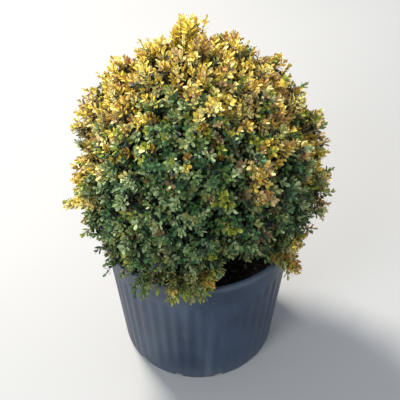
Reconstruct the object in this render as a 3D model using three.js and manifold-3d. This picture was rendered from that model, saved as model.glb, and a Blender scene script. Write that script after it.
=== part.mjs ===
// A clipped box ball growing in a round plastic nursery pot, as an assembly of separate solids.
// Millimetres, +Z up. The origin is the middle of the pot's flat underside.
// The plant's front faces -Y and its right side faces +X. Azimuths turn from the front to the right.

import * as THREE from 'three';
import { mergeVertices } from 'three/addons/utils/BufferGeometryUtils.js';
import Module from 'manifold-3d';

const wasm = await Module();
wasm.setup();

// Driving dimensions of the pot
const POT_HEIGHT = 292;
const RIM_RADIUS = 178;
const RIM_DEPTH = 10;
const RIM_OVERHANG = 5;
const BASE_RADIUS = 144;
const WALL_THICKNESS = 2.6;
const FLOOR_THICKNESS = 3.2;
const COLLAR_DEPTH = 58;
const COLLAR_STEP = 2;
const EDGE_ROUND = 2;
const NOTCH_COUNT = 12;
const NOTCH_RADIUS = 9;
const NOTCH_REACH = 26;
const POT_SEGMENTS = 40;
const NOTCH_SIDES = 8;

// Driving dimensions of the potting mix
const MIX_HEIGHT = 250;
const MIX_EDGE_DROP = 6;
const MIX_FLAT_RADIUS = 60;

// Driving dimensions of the trunk and the boughs
const CLEARANCE = 0.3;
const TRUNK_TOP = 300;
const TRUNK_FOOT_RADIUS = 14;
const TRUNK_TOP_RADIUS = 11;
const FLARE = 0.6;
const FLARE_FADE = 7;
const FLARE_LOBES = 5;
const FLARE_LOBE_DEPTH = 0.3;
const TRUNK_LEAN = new THREE.Vector2(-3, 4);
const TRUNK_BEND = { up: 0.45, side: 0.4, back: 0.3 };
const TRUNK_SIDES = 16;
const TRUNK_STEPS = 8;
const BOUGH_FOOT_RADIUS = 5.4;
const BOUGH_TIP_RADIUS = 4.2;
const LEADER_FOOT_RADIUS = 7.6;
const BOUGH_FEET = [270, 286];
const BOUGH_ROUTE = [[30, 303], [60, 333], [86, 366], [102, 387]];
const BOUGH_SWAY = 6;
const BOUGH_SIDES = 6;
const BOUGH_STEPS = 7;
const LEADER_RISE = 27;
const LEADER_TIP = 516;

// Driving dimensions of the crown
const CENTRE = new THREE.Vector3(3, 0, 412);
const BALL_RADIUS = 217;
const LUMPS = [
  { height: 4.0, turns: [7.3, 3.1, -2.2], start: 0.7 },
  { height: 3.2, turns: [-4.2, 11.9, 5.0], start: 1.9 },
  { height: 2.7, turns: [6.1, -3.3, 13.7], start: 4.1 },
];
const SKIRT = { rise: 9, coreRise: 5, from: -10, to: -32 };
const SPOTS = [
  { azimuth: 22, elevation: -42, width: 18, rise: -60 },
  { azimuth: 22, elevation: -18, width: 17, rise: -46 },
  { azimuth: -130, elevation: 33, width: 24, rise: 12 },
];
const CORE_DEPTH = 36;
const CORE_LEAST = 134;
const CORE_INSIDE = 118;
const CORE_ROUGHNESS = 5;
const CORE_DETAIL = 3;
const CORE_INSIDE_DETAIL = 2;
const CORE_SEED = 7;
const SEAM = 0.6;
const STEM_LENGTH = 30;

// Driving dimensions of the shoots and leaves
const SHOOT_COUNT = 120;
const SHOOT_ROOT = 18;
const SHOOT_LEAST = 18;
const SHOOT_RADIUS = 3.4;
const SHOOT_TAPER = 0.25;
const SHOOT_TILT = 0.3;
const SHOOT_LIFT = 0.3;
const SHOOT_BEND_AT = 0.55;
const SHOOT_TESTS = [0.3, 0.6, 0.8, 1];
const LIFT_FROM = -45;
const LIFT_TO = -10;
const SEAM_INSET = 0.028;
const LEAF_LENGTH = 42;
const LEAF_WIDTH = 25.5;
const LEAF_THICKNESS = 2.6;
const LEAF_CUP = 2.2;
const LEAF_WIDEST = 0.58;
const PAIR_STEP = 9;
const FIRST_PAIR = 3;
const LEAF_SINK = 1;
const PAIR_SPREADS = [43, 58, 66, 66];
const PAIR_WOBBLE = 0.3;
const TURNS_TRIED = 13;
const TURN_STEP = 14;
const SEEDS_TRIED = 6;
const SEED_STEP = 100;
const LEAF_MARGIN = 0.8;
const LEAF_SPACING = 20;

// Shoots that the shears missed: where each leaves the ball, how far past it the shoot reaches,
// which way its tip turns, and how many pairs of leaves it has
const LONG_SHOOTS = [
  { azimuth: 202, elevation: 68, past: 42, turn: [11, 0, 11], pairs: 4 },
  { azimuth: 182, elevation: 76, past: 30, turn: [9, 0, 7], pairs: 3 },
  { azimuth: 226, elevation: 66, past: 18, turn: [-7, 0, 7], pairs: 3 },
  { azimuth: 160, elevation: 47, past: 12, turn: [4, 0, 7], pairs: 2 },
  { azimuth: 132, elevation: 38, past: 12, turn: [5, 0, 5], pairs: 2 },
  { azimuth: -72, elevation: -6, past: 24, turn: [-5, -4, -4], pairs: 3 },
  { azimuth: -58, elevation: 3, past: 16, turn: [-5, 0, 5], pairs: 2 },
  { azimuth: 82, elevation: -22, past: 16, turn: [5, 0, 7], pairs: 2 },
  { azimuth: 50, elevation: -30, past: 40, turn: [7, -5, -30], pairs: 4 },
  { azimuth: 0, elevation: -26, past: 22, turn: [0, -9, -14], pairs: 3 },
  { azimuth: -24, elevation: -28, past: 20, turn: [-4, -7, -12], pairs: 3 },
];

const SIDES = ['front', 'front_right', 'back_right', 'back', 'back_left', 'front_left'];
const SIDE_TURN = 360 / SIDES.length;
const SIDE_ELEVATION = -14;
const UNDER_EDGE = -54;

const UP = new THREE.Vector3(0, 0, 1);
const TINY = 1e-4;
const GRID = 0.002;

// Helpers

function radians(degrees) {
  return THREE.MathUtils.degToRad(degrees);
}

function direction(azimuth, elevation) {
  const level = Math.cos(radians(elevation));
  const side = level * Math.sin(radians(azimuth));
  const back = -level * Math.cos(radians(azimuth));
  return new THREE.Vector3(side, back, Math.sin(radians(elevation)));
}

function elevationOf(way) {
  return THREE.MathUtils.radToDeg(Math.asin(THREE.MathUtils.clamp(way.z, -1, 1)));
}

// A seeded stream of numbers from 0 to 1
function seeded(seed) {
  let state = seed >>> 0;
  return () => {
    state = (state + 0x6d2b79f5) >>> 0;
    let mixed = Math.imul(state ^ (state >>> 15), state | 1);
    mixed ^= mixed + Math.imul(mixed ^ (mixed >>> 7), mixed | 61);
    return ((mixed ^ (mixed >>> 14)) >>> 0) / 4294967296;
  };
}

// A closed solid from a three.js geometry, with its shared corners merged
function solid(geometry) {
  const bare = geometry.clone();
  bare.deleteAttribute('normal');
  bare.deleteAttribute('uv');
  const merged = mergeVertices(bare, TINY);
  const corners = merged.index.array;
  const kept = [];
  for (let i = 0; i < corners.length; i += 3) {
    const [a, b, c] = corners.slice(i, i + 3);
    if (a !== b && b !== c && c !== a) kept.push(a, b, c);
  }
  const vertProperties = new Float32Array(merged.attributes.position.array);
  return new wasm.Manifold(new wasm.Mesh({ numProp: 3, vertProperties, triVerts: new Uint32Array(kept) }));
}

function join(solids) {
  let level = solids;
  while (level.length > 1) {
    const next = [];
    for (let i = 0; i < level.length; i += 2) {
      next.push(i + 1 < level.length ? level[i].add(level[i + 1]) : level[i]);
    }
    level = next;
  }
  return level[0];
}

// The largest piece alone: loose scraps are dropped and sealed hollows are filled
function largest(whole) {
  return whole.decompose().reduce((most, piece) => (piece.volume() > most.volume() ? piece : most));
}

// The solid's surface with its corners moved to a fine grid, and the faces that collapse dropped
function snapped(whole) {
  const { vertProperties, triVerts } = whole.getMesh();
  const numbers = new Map();
  const places = [];
  const cornerOf = [];
  for (let i = 0; i < vertProperties.length; i += 3) {
    const steps = Array.from(vertProperties.slice(i, i + 3), (value) => Math.round(value / GRID));
    const key = steps.join();
    if (!numbers.has(key)) {
      numbers.set(key, numbers.size);
      places.push(...steps.map((step) => step * GRID));
    }
    cornerOf.push(numbers.get(key));
  }
  const faces = [];
  for (let i = 0; i < triVerts.length; i += 3) {
    const [a, b, c] = Array.from(triVerts.slice(i, i + 3), (corner) => cornerOf[corner]);
    if (a !== b && b !== c && c !== a) faces.push(a, b, c);
  }
  return { places, faces };
}

// A surface is closed if each edge has one face on either side of it
function isClosed({ faces }) {
  const edges = new Set();
  for (let i = 0; i < faces.length; i += 3) {
    for (let k = 0; k < 3; k += 1) {
      const edge = `${faces[i + k]} ${faces[i + ((k + 1) % 3)]}`;
      if (edges.has(edge)) return false;
      edges.add(edge);
    }
  }
  return [...edges].every((edge) => edges.has(edge.split(' ').reverse().join(' ')));
}

function meshOf(name, whole, finish) {
  const surface = snapped(whole);
  if (!isClosed(surface)) throw new Error(`${name} is not one closed surface`);
  const geometry = new THREE.BufferGeometry();
  geometry.setAttribute('position', new THREE.Float32BufferAttribute(surface.places, 3));
  geometry.setIndex(surface.faces);
  geometry.computeVertexNormals();
  const mesh = new THREE.Mesh(geometry, finish);
  mesh.name = name;
  return mesh;
}

// A level or upright direction square enough to a way to measure turns from
function besides(way) {
  return Math.abs(way.z) > 0.9 ? new THREE.Vector3(1, 0, 0) : UP;
}

function finish(color, roughness) {
  return new THREE.MeshStandardMaterial({ color, roughness, metalness: 0 });
}

// A tapering limb along a path. Its rings stand square to the path, or lie level for a flat foot.
function limb(path, radiusAt, sides, steps, level = false) {
  const geometry = new THREE.CylinderGeometry(1, 1, 1, sides, steps);
  const place = geometry.attributes.position;
  const first = path.getTangent(0);
  const side = new THREE.Vector3().crossVectors(besides(first), first).normalize();
  for (let i = 0; i < place.count; i += 1) {
    const along = THREE.MathUtils.clamp(place.getY(i) + 0.5, 0, 1);
    const tangent = level ? UP.clone() : path.getTangent(along);
    const across = side.clone().addScaledVector(tangent, -side.dot(tangent)).normalize();
    const over = new THREE.Vector3().crossVectors(across, tangent);
    const radius = radiusAt(along, Math.atan2(place.getZ(i), place.getX(i)));
    const point = path.getPoint(along);
    point.addScaledVector(across, radius * place.getX(i)).addScaledVector(over, radius * place.getZ(i));
    place.setXYZ(i, point.x, point.y, point.z);
  }
  return solid(geometry);
}

// Pot

const WALL_TOP_RADIUS = RIM_RADIUS - RIM_OVERHANG;
const COLLAR_FOOT = POT_HEIGHT - COLLAR_DEPTH;

function wallRadius(height) {
  return THREE.MathUtils.mapLinear(height, 0, POT_HEIGHT - RIM_DEPTH, BASE_RADIUS, WALL_TOP_RADIUS);
}

function turned(profile) {
  const geometry = new THREE.LatheGeometry(profile.map(([x, y]) => new THREE.Vector2(x, y)), POT_SEGMENTS);
  geometry.rotateX(Math.PI / 2);
  return solid(geometry);
}

function pot() {
  const rimFoot = POT_HEIGHT - RIM_DEPTH;
  const inside = WALL_TOP_RADIUS - WALL_THICKNESS;
  const shell = turned([
    [0, 0],
    [BASE_RADIUS - EDGE_ROUND, 0],
    [wallRadius(EDGE_ROUND), EDGE_ROUND],
    [wallRadius(COLLAR_FOOT) - COLLAR_STEP, COLLAR_FOOT - COLLAR_STEP],
    [wallRadius(COLLAR_FOOT), COLLAR_FOOT],
    [WALL_TOP_RADIUS, rimFoot],
    [RIM_RADIUS - EDGE_ROUND, rimFoot],
    [RIM_RADIUS, rimFoot + EDGE_ROUND],
    [RIM_RADIUS, POT_HEIGHT - EDGE_ROUND],
    [RIM_RADIUS - EDGE_ROUND, POT_HEIGHT],
    [inside + EDGE_ROUND, POT_HEIGHT],
    [inside, POT_HEIGHT - EDGE_ROUND],
    [wallRadius(COLLAR_FOOT) - COLLAR_STEP - WALL_THICKNESS, COLLAR_FOOT],
    [wallRadius(FLOOR_THICKNESS) - COLLAR_STEP - WALL_THICKNESS, FLOOR_THICKNESS],
    [0, FLOOR_THICKNESS],
  ]);
  let cut = shell;
  for (let i = 0; i < NOTCH_COUNT; i += 1) {
    const notch = new THREE.CylinderGeometry(NOTCH_RADIUS, NOTCH_RADIUS, NOTCH_REACH, NOTCH_SIDES);
    notch.translate(0, -BASE_RADIUS, 0);
    notch.rotateZ(((i + 0.5) * 2 * Math.PI) / NOTCH_COUNT);
    cut = cut.subtract(solid(notch));
  }
  return cut;
}

function pottingMix() {
  const gap = WALL_THICKNESS + COLLAR_STEP + CLEARANCE;
  const edgeHeight = MIX_HEIGHT - MIX_EDGE_DROP;
  return turned([
    [0, FLOOR_THICKNESS + CLEARANCE],
    [wallRadius(FLOOR_THICKNESS) - gap, FLOOR_THICKNESS + CLEARANCE],
    [wallRadius(COLLAR_FOOT) - gap, COLLAR_FOOT],
    [wallRadius(edgeHeight) - gap, edgeHeight],
    [MIX_FLAT_RADIUS, MIX_HEIGHT],
    [0, MIX_HEIGHT],
  ]);
}

// Trunk and boughs

const trunkPath = new THREE.CatmullRomCurve3([
  new THREE.Vector3(0, 0, MIX_HEIGHT + CLEARANCE),
  new THREE.Vector3(
    TRUNK_LEAN.x * TRUNK_BEND.side,
    TRUNK_LEAN.y * TRUNK_BEND.back,
    THREE.MathUtils.lerp(MIX_HEIGHT, TRUNK_TOP, TRUNK_BEND.up),
  ),
  new THREE.Vector3(TRUNK_LEAN.x, TRUNK_LEAN.y, TRUNK_TOP),
]);

function trunkRadius(along, turn) {
  const taper = THREE.MathUtils.lerp(TRUNK_FOOT_RADIUS, TRUNK_TOP_RADIUS, along);
  const flare = FLARE * Math.exp(-FLARE_FADE * along);
  return taper * (1 + flare * (1 + FLARE_LOBE_DEPTH * Math.sin(FLARE_LOBES * turn)));
}

function trunk(grow = 0) {
  const radiusAt = (along, turn) => trunkRadius(along, turn) + grow;
  return limb(trunkPath, radiusAt, TRUNK_SIDES, TRUNK_STEPS, true);
}

function trunkAxisAt(height) {
  const along = (height - MIX_HEIGHT) / (TRUNK_TOP - MIX_HEIGHT);
  return new THREE.Vector3(TRUNK_LEAN.x * along, TRUNK_LEAN.y * along, height);
}

function boughPath(mass) {
  if (mass.leader) {
    const foot = new THREE.Vector3(TRUNK_LEAN.x, TRUNK_LEAN.y, TRUNK_TOP + CLEARANCE);
    const above = foot.clone().addScaledVector(UP, LEADER_RISE);
    const middle = new THREE.Vector3(CENTRE.x + BOUGH_SWAY, -BOUGH_SWAY, (TRUNK_TOP + LEADER_TIP) / 2);
    return new THREE.CatmullRomCurve3([foot, above, middle, new THREE.Vector3(CENTRE.x, 0, LEADER_TIP)]);
  }
  const outward = direction(mass.azimuth, 0);
  const sideways = direction(mass.azimuth + 90, 0);
  const sway = mass.order % 2 ? BOUGH_SWAY : -BOUGH_SWAY;
  const points = BOUGH_ROUTE.map(([out, height], i) => {
    const bend = sway * Math.sin((Math.PI * (i + 1)) / BOUGH_ROUTE.length);
    const axis = new THREE.Vector3(CENTRE.x, 0, height);
    return axis.addScaledVector(outward, out).addScaledVector(sideways, bend);
  });
  return new THREE.CatmullRomCurve3([trunkAxisAt(BOUGH_FEET[mass.order % 2]), ...points]);
}

function bough(mass) {
  const foot = mass.leader ? LEADER_FOOT_RADIUS : BOUGH_FOOT_RADIUS;
  const radiusAt = (along) => THREE.MathUtils.lerp(foot, BOUGH_TIP_RADIUS, along);
  const whole = limb(boughPath(mass), radiusAt, BOUGH_SIDES, BOUGH_STEPS);
  return mass.leader ? whole : largest(whole.subtract(trunk(CLEARANCE)));
}

// Crown outline: a ball with soft lumps, a skirt that hangs out over the rim, and a few spots of its own

function skirt(way) {
  return THREE.MathUtils.smoothstep(-elevationOf(way), -SKIRT.from, -SKIRT.to);
}

function crownReach(way) {
  let reach = BALL_RADIUS;
  for (const { height, turns, start } of LUMPS) {
    reach += height * Math.sin(way.dot(new THREE.Vector3(...turns)) + start);
  }
  for (const { azimuth, elevation, width, rise } of SPOTS) {
    const off = way.angleTo(direction(azimuth, elevation)) / radians(width);
    reach += rise * Math.exp(-off * off);
  }
  return reach + SKIRT.rise * skirt(way);
}

// The core follows the outline, but stays clear of the room inside it where the outline is hollow
function coreReach(way) {
  return Math.max(CORE_LEAST, crownReach(way) - CORE_DEPTH + SKIRT.coreRise * skirt(way));
}

// Masses: one on the leader and one on each side bough, each in a wedge of the ball of its own

const MASSES = [
  { name: 'top', azimuth: 0, elevation: 90, order: 0, leader: true },
  ...SIDES.map((name, order) => (
    { name, azimuth: order * SIDE_TURN, elevation: SIDE_ELEVATION, order, leader: false }
  )),
];

// The planes between a mass and its neighbours, and the one under it, all through the ball's centre
function wedge(mass) {
  const own = direction(mass.azimuth, mass.elevation);
  const between = MASSES.filter((other) => other !== mass)
    .map((other) => own.clone().sub(direction(other.azimuth, other.elevation)).normalize());
  return mass.leader ? between : [...between, direction(mass.azimuth, UNDER_EDGE + 90)];
}

function insideWedge(point, planes, margin) {
  const from = point.clone().sub(CENTRE);
  return planes.every((inward) => from.dot(inward) >= SEAM + margin);
}

// A place is clear of the pot and the mix if it is above the rim, outside it, or well inside it
function clearOfPot(point, margin) {
  const out = Math.hypot(point.x, point.y);
  if (point.z > POT_HEIGHT + margin || out > RIM_RADIUS + margin) return true;
  return out < WALL_TOP_RADIUS - WALL_THICKNESS - EDGE_ROUND - margin && point.z > MIX_HEIGHT + margin;
}

function core(planes, random) {
  const outside = new THREE.IcosahedronGeometry(1, CORE_DETAIL);
  const merged = mergeVertices(outside.deleteAttribute('normal').deleteAttribute('uv'), TINY);
  const place = merged.attributes.position;
  for (let i = 0; i < place.count; i += 1) {
    const way = new THREE.Vector3().fromBufferAttribute(place, i).normalize();
    const uneven = CORE_ROUGHNESS * (2 * random() - 1);
    const radius = coreReach(way) + uneven;
    place.setXYZ(i, way.x * radius, way.y * radius, way.z * radius);
  }
  merged.translate(...CENTRE);
  const inside = new THREE.IcosahedronGeometry(CORE_INSIDE, CORE_INSIDE_DETAIL).translate(...CENTRE);
  let whole = solid(merged).subtract(solid(inside));
  for (const inward of planes) {
    const size = 4 * BALL_RADIUS;
    const keep = new THREE.BoxGeometry(size, size, size).translate(0, 0, size / 2 + SEAM);
    keep.applyQuaternion(new THREE.Quaternion().setFromUnitVectors(UP, inward));
    keep.translate(...CENTRE);
    whole = whole.intersect(solid(keep));
  }
  return whole;
}

// A leaf is a thin eight-faced blade, widest past its middle, with its edges cupped up
function leafPoints(root, along, face) {
  const across = new THREE.Vector3().crossVectors(along, face).normalize();
  const upper = new THREE.Vector3().crossVectors(across, along);
  const at = (length, width, lift) => root.clone()
    .addScaledVector(along, length).addScaledVector(across, width).addScaledVector(upper, lift);
  const widest = LEAF_LENGTH * LEAF_WIDEST;
  return {
    root: at(0, 0, 0),
    tip: at(LEAF_LENGTH, 0, -LEAF_CUP / 2),
    left: at(widest, -LEAF_WIDTH / 2, LEAF_CUP),
    right: at(widest, LEAF_WIDTH / 2, LEAF_CUP),
    above: at(widest, 0, LEAF_THICKNESS / 2),
    below: at(widest, 0, -LEAF_THICKNESS / 2),
  };
}

// Which corner of the blade each corner of an octahedron becomes
const BLADE = {
  '1,0,0': 'right',
  '-1,0,0': 'left',
  '0,1,0': 'tip',
  '0,-1,0': 'root',
  '0,0,1': 'above',
  '0,0,-1': 'below',
};

function leafSolid(points) {
  const geometry = new THREE.OctahedronGeometry(1, 0);
  const place = geometry.attributes.position;
  for (let i = 0; i < place.count; i += 1) {
    const key = [place.getX(i), place.getY(i), place.getZ(i)].map(Math.round).join();
    const corner = points[BLADE[key]];
    place.setXYZ(i, corner.x, corner.y, corner.z);
  }
  return solid(geometry);
}

function leafFits(points, planes, others) {
  const { root, tip, left, right, above, below } = points;
  const corners = [tip, left, right, above, below];
  if (!corners.every((corner) => insideWedge(corner, planes, LEAF_MARGIN))) return false;
  if (others.some((other) => other.distanceTo(above) < LEAF_SPACING)) return false;
  const between = [[root, tip], [left, tip], [right, tip], [left, right], [root, left], [root, right]];
  const samples = between.flatMap(([a, b]) => [0.25, 0.5, 0.75, 1].map((t) => a.clone().lerp(b, t)));
  return samples.every((sample) => clearOfPot(sample, LEAF_MARGIN + LEAF_THICKNESS));
}

// One shoot: a three-sided twig that tapers to its tip, with opposite pairs of leaves.
// Each pair turns square to the last, and then by the smallest turn at which both leaves fit.
function shoot(path, pairs, planes, random, others) {
  const length = path.getLength();
  const parts = [limb(path, (along) => SHOOT_RADIUS * (1 - SHOOT_TAPER * along), 3, pairs > 2 ? 3 : 1)];
  let turn = random() * Math.PI;
  for (let i = 0; i < pairs; i += 1) {
    const along = 1 - (FIRST_PAIR + i * PAIR_STEP) / length;
    const twig = path.getTangent(along);
    const spread = radians(PAIR_SPREADS[i]);
    const side = new THREE.Vector3().crossVectors(twig, besides(twig)).normalize();
    const joint = path.getPoint(along);
    for (let half = 0; half < 2; half += 1) {
      for (let tried = 0; tried < TURNS_TRIED; tried += 1) {
        const swing = (tried % 2 ? 1 : -1) * Math.ceil(tried / 2) * radians(TURN_STEP);
        const out = side.clone().applyAxisAngle(twig, turn + half * Math.PI + swing);
        const way = twig.clone().multiplyScalar(Math.cos(spread)).addScaledVector(out, Math.sin(spread));
        const face = twig.clone().multiplyScalar(Math.sin(spread)).addScaledVector(out, -Math.cos(spread));
        const points = leafPoints(joint.clone().addScaledVector(way, -LEAF_SINK), way, face);
        if (leafFits(points, planes, others)) {
          parts.push(leafSolid(points));
          others.push(points.above);
          break;
        }
      }
    }
    turn += Math.PI / 2 + PAIR_WOBBLE * (random() - 0.5);
  }
  return parts;
}

// Evenly spread places on the ball, as on a sunflower head
function latticeWay(i) {
  const height = 1 - (2 * i + 1) / SHOOT_COUNT;
  const turn = i * Math.PI * (3 - Math.sqrt(5));
  const level = Math.sqrt(1 - height * height);
  return new THREE.Vector3(level * Math.cos(turn), level * Math.sin(turn), height);
}

function pulledIn(way, planes) {
  const pulled = way.clone();
  for (const inward of planes) {
    const short = SEAM_INSET - pulled.dot(inward);
    if (short > 0) pulled.addScaledVector(inward, short).normalize();
  }
  return pulled;
}

// A shoot's path starts in the core and ends where its top leaves reach the crown's outline
function shootPath(way, past, turn, random) {
  const tilt = new THREE.Vector3(random() - 0.5, random() - 0.5, random() - 0.5).multiplyScalar(SHOOT_TILT);
  const lift = THREE.MathUtils.smoothstep(elevationOf(way), LIFT_FROM, LIFT_TO) * (1 - Math.abs(way.z));
  const lean = way.clone().add(tilt).addScaledVector(UP, SHOOT_LIFT * lift).normalize();
  const start = coreReach(way) - SHOOT_ROOT;
  const foot = CENTRE.clone().addScaledVector(way, start);
  const end = crownReach(way) + past - LEAF_LENGTH * Math.cos(radians(PAIR_SPREADS[0]));
  const reach = Math.max(SHOOT_LEAST, end - start);
  const tip = foot.clone().addScaledVector(lean, reach / lean.dot(way)).add(turn);
  const middle = foot.clone().addScaledVector(lean, SHOOT_BEND_AT * reach);
  return new THREE.QuadraticBezierCurve3(foot, middle, tip);
}

function pathFits(path, planes) {
  return SHOOT_TESTS.every((along) => {
    const point = path.getPoint(along);
    return insideWedge(point, planes, SHOOT_RADIUS) && clearOfPot(point, SHOOT_RADIUS + 1);
  });
}

// A mass: its core, the stem that meets its bough, and the shoots that fit in its wedge
function grown(mass, seed) {
  const random = seeded(seed);
  const planes = wedge(mass);
  const route = boughPath(mass);
  const stemWay = route.getTangent(1);
  const stemFoot = route.getPoint(1).addScaledVector(stemWay, CLEARANCE);
  const hub = stemFoot.clone().addScaledVector(stemWay, STEM_LENGTH);
  const stem = limb(new THREE.LineCurve3(stemFoot, hub), () => BOUGH_TIP_RADIUS, BOUGH_SIDES, 1);
  const parts = [core(planes, seeded(CORE_SEED)), stem];
  const own = (way) => insideWedge(CENTRE.clone().addScaledVector(way, BALL_RADIUS), planes, 0);
  const still = new THREE.Vector3();
  const others = [];
  for (let i = 0; i < SHOOT_COUNT; i += 1) {
    const way = latticeWay(i);
    if (!own(way)) continue;
    const path = shootPath(pulledIn(way, planes), 0, still, random);
    if (pathFits(path, planes)) parts.push(...shoot(path, 2, planes, random, others));
  }
  for (const { azimuth, elevation, past, turn, pairs } of LONG_SHOOTS) {
    const way = direction(azimuth, elevation);
    if (!own(way)) continue;
    const path = shootPath(pulledIn(way, planes), past, new THREE.Vector3(...turn), random);
    parts.push(...shoot(path, pairs, planes, random, others));
  }
  return largest(join(parts));
}

// A mass grows from the first seed that leaves its surface closed on the grid
function foliage(mass) {
  for (let tried = 0; tried < SEEDS_TRIED; tried += 1) {
    const whole = grown(mass, SEED_STEP * (tried + 1) + MASSES.indexOf(mass));
    if (isClosed(snapped(whole))) return whole;
  }
  throw new Error(`no seed closes the mass ${mass.name}`);
}

// Finishes

const slatePlastic = finish(0x3d4a5c, 0.55);
const darkBark = finish(0x2a211b, 0.95);
const greyBark = finish(0x7d7263, 0.85);
const goldLeaf = finish(0xb59a34, 0.5);
const greenLeaf = finish(0x3f5f2c, 0.5);

// The assembly

const plant = new THREE.Group();
plant.add(meshOf('pot', pot(), slatePlastic));
plant.add(meshOf('potting_mix', pottingMix(), darkBark));
plant.add(meshOf('trunk', trunk(), greyBark));
for (const mass of MASSES) {
  plant.add(meshOf(`bough_${mass.name}`, bough(mass), greyBark));
  plant.add(meshOf(`foliage_${mass.name}`, foliage(mass), mass.name === 'top' ? goldLeaf : greenLeaf));
}

export default plant;
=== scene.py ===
# A clipped box ball in a round nursery pot: its looks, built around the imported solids.
# Metres, +Z up. The origin is the middle of the pot's underside, and the front faces -Y.
# Azimuths turn from the front towards the right, and angles are in degrees unless a comment says
# radians. The crown grows by the same rule as the solids that it replaces, carried on to fine twigs
# and single leaves.

import math

import bmesh
import bpy
import numpy as np
from mathutils import Matrix, Vector


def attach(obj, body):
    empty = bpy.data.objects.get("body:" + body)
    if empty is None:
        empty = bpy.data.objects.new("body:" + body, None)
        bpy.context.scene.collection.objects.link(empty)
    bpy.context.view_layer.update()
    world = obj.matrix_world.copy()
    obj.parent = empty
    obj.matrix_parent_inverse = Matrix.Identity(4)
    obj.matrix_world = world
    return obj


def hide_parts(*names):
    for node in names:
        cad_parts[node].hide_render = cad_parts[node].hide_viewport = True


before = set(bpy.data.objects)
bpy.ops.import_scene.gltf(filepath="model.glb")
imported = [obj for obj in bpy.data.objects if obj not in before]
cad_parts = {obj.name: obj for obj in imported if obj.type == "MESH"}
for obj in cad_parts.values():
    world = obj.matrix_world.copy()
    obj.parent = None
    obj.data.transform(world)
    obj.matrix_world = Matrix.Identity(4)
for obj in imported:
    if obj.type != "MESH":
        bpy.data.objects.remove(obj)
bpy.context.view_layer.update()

# Camera, at the photograph's viewing angle and distance
BALL_CENTRE = Vector((0.003, 0.0, 0.412))
VIEW_ELEVATION = 41.4
VIEW_DISTANCE = 1.506
AIM_DOWN = 43.7
LENS = 80.0
SENSOR_WIDTH = 36.0

# Floor and light: a pale sky, and lamps by place, width, watts and colour
FLOOR_SIZE = 9.0
SKY_COLOUR = (0.80, 0.86, 0.95, 1)
SKY_STRENGTH = 0.66
LAMPS = (
    ("key", (-1.1, 1.3, 2.6), 0.7, 150, (1.0, 0.95, 0.86)),
    ("fill", (-1.3, -1.9, 2.3), 1.2, 40, (0.95, 0.97, 1.0)),
)

# Pot: EDGE rounds its foot and its rim, and rows are the heights of rings in its skin, or their
# depths under the collar
POT_HEIGHT = 0.292
RIM_RADIUS = 0.178
RIM_DEPTH = 0.010
RIM_OVERHANG = 0.005
BASE_RADIUS = 0.144
WALL = 0.0026
FLOOR = 0.0032
COLLAR_DEPTH = 0.058
COLLAR_STEP = 0.002
EDGE = 0.002
FLUTES = 45
COLUMNS_PER_FLUTE = 8
POT_SIDES = FLUTES * COLUMNS_PER_FLUTE
POT_SMOOTH_ANGLE = 32.0
FLUTE_DEPTH = 0.0019
FLUTE_FOOT = 0.016
FLUTE_RUNOUT = 0.006
FLUTE_HEAD = POT_HEIGHT - COLLAR_DEPTH - 0.009
WALL_ROWS = (0.090, 0.160)
ROWS_UNDER_COLLAR = (0.016, 0.010, 0.005)
COLLAR_ROW = 0.256
NOTCHES = 12
NOTCH_RADIUS = 0.009
NOTCH_REACH = 0.026
NOTCH_SIDES = 24
DUSTY_FOOT = 0.055

# Potting mix: its lumps by size and height, how far down they start, and the share of its width
# that they cover; GAP keeps it off the pot
MIX_HEIGHT = 0.250
MIX_EDGE_DROP = 0.006
MIX_FLAT_RADIUS = 0.060
MIX_RINGS = 15
MIX_SIDES = 96
MIX_LUMPS = ((0.022, 0.005), (0.006, 0.0025))
MIX_LUMP_BAND = 0.008
MIX_LUMP_WIDTH = 0.97
GAP = 0.0003

# Bark chips on the mix: kinds by share, darkest colour and palest colour, ranges of size, and the
# share of the mix's area that stays free round the trunk
CHIP_COUNT = 1500
CHIP_KINDS = (
    ("chips_dark", 0.72, (0.008, 0.009, 0.007, 1), (0.040, 0.036, 0.026, 1)),
    ("chips_brown", 0.24, (0.018, 0.012, 0.008, 1), (0.066, 0.042, 0.026, 1)),
    ("chips_tan", 0.04, (0.110, 0.074, 0.042, 1), (0.260, 0.190, 0.120, 1)),
)
CHIP_LENGTHS = (0.0025, 0.0085)
CHIP_LENGTH_SHARES = (0.6, 1.0)
CHIP_WIDTH_SHARES = (0.3, 0.7)
CHIP_THICKNESSES = (0.0005, 0.0017)
CHIP_CORNER_SHARES = (0.55, 1.1)
CHIP_RISES = (-0.001, 0.004)
CHIP_EDGE_GAP = 0.008
CHIP_FREE_MIDDLE = 0.014
CHIP_STEEPNESS = 0.28
CHIP_TILT = 0.25

# Trunk and boughs: the bend is a share of the trunk's lean, partway up, and a route is distances
# from the ball's axis with their heights
TRUNK_TOP = 0.300
TRUNK_FOOT_RADIUS = 0.014
TRUNK_TOP_RADIUS = 0.011
TRUNK_LEAN = Vector((-0.003, 0.004))
TRUNK_SINK = 0.004
TRUNK_BEND = (0.4, 0.3, 0)
TRUNK_BEND_RISE = 0.45
TRUNK_RINGS = 18
FLARE = 0.6
FLARE_FADE = 7.0
LIMB_SIDES = 16
BOUGH_RINGS = 16
BOUGH_FOOT_RADIUS = 0.0054
BOUGH_TIP_RADIUS = 0.0042
LEADER_FOOT_RADIUS = 0.0076
BOUGH_FEET = (0.270, 0.286)
BOUGH_ROUTE = ((0.030, 0.303), (0.060, 0.333), (0.086, 0.366), (0.102, 0.387))
BOUGH_SWAY = 0.006
LEADER_RISE = 0.027
LEADER_TIP = 0.516
STEM_LENGTH = 0.030
FURROW_SIZE = 0.004
FURROW_DEPTH = 0.0022
FURROW_DEPTH_SHARE = 0.4
FURROW_STRETCH = 5

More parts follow.
